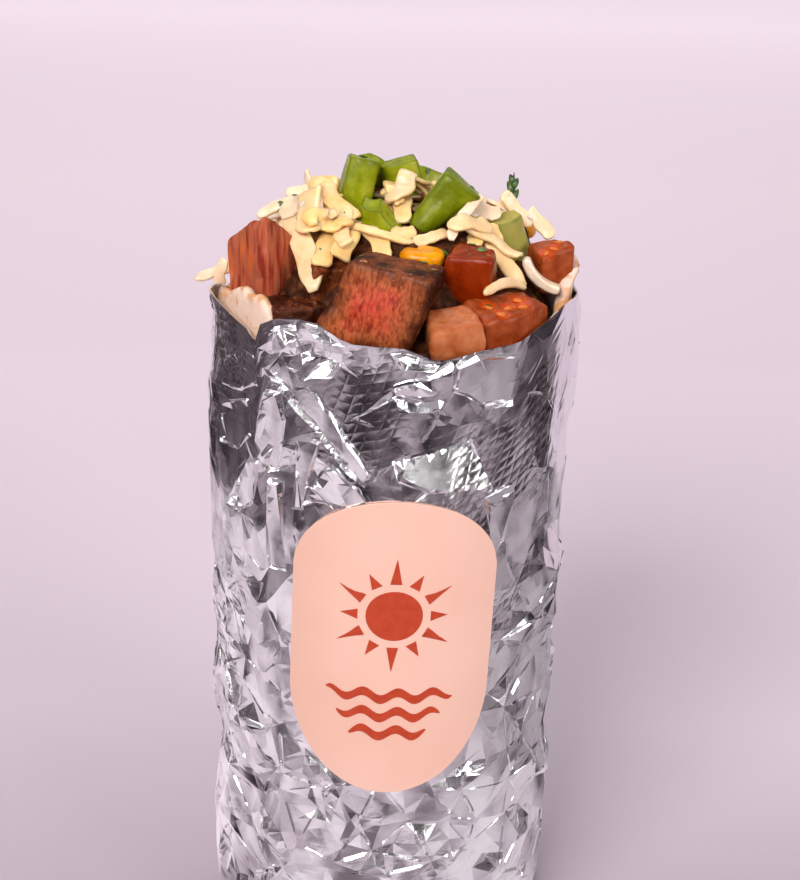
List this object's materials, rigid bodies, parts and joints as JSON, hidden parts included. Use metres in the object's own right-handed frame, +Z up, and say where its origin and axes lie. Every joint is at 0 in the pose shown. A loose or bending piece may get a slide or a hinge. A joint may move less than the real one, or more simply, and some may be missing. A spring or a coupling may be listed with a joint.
{
  "type": "burrito",
  "caption": "Foil-wrapped burrito standing with its torn-open end up, heaped with steak cubes, shredded cheese, tomato, green pepper and corn.",
  "frame": {"origin": "centre of the flat foot that the wrapped burrito stands on", "axes": "+Z up along the burrito towards its open end, -Y towards the side with the paper label"},
  "size_m": [0.0761, 0.0735, 0.1696],
  "materials": {
    "foil": "crumpled bright foil",
    "paper": "matte coloured paper",
    "tortilla": "soft floury flatbread",
    "filling": "soft shredded cheese",
    "steak": "moist grilled meat",
    "tomato": "wet diced tomato",
    "pepper": "fresh glossy green pepper",
    "corn": "glossy sweetcorn",
    "onion": "translucent onion",
    "herb": "fresh herb"
  },
  "bodies": {
    "root": {"foil_wrap": "foil", "label": "paper", "tortilla": "tortilla", "filling": "filling", "steak_left": "steak", "steak_front": "steak", "steak_low": "steak", "steak_middle": "steak", "steak_back_left": "steak", "steak_back_right": "steak", "tomato_upper": "tomato", "tomato_front": "tomato", "tomato_right_front": "tomato", "tomato_right": "tomato", "tomato_back": "tomato", "tomato_back_left": "tomato", "pepper_left": "pepper", "pepper_rear": "pepper", "pepper_front": "pepper", "pepper_right": "pepper", "pepper_side": "pepper", "pepper_top": "pepper", "pepper_back": "pepper", "corn_front": "corn", "corn_back": "corn", "corn_side": "corn", "onion_right": "onion", "onion_back": "onion", "herb_sprig": "herb"}
  },
  "joints": []
}
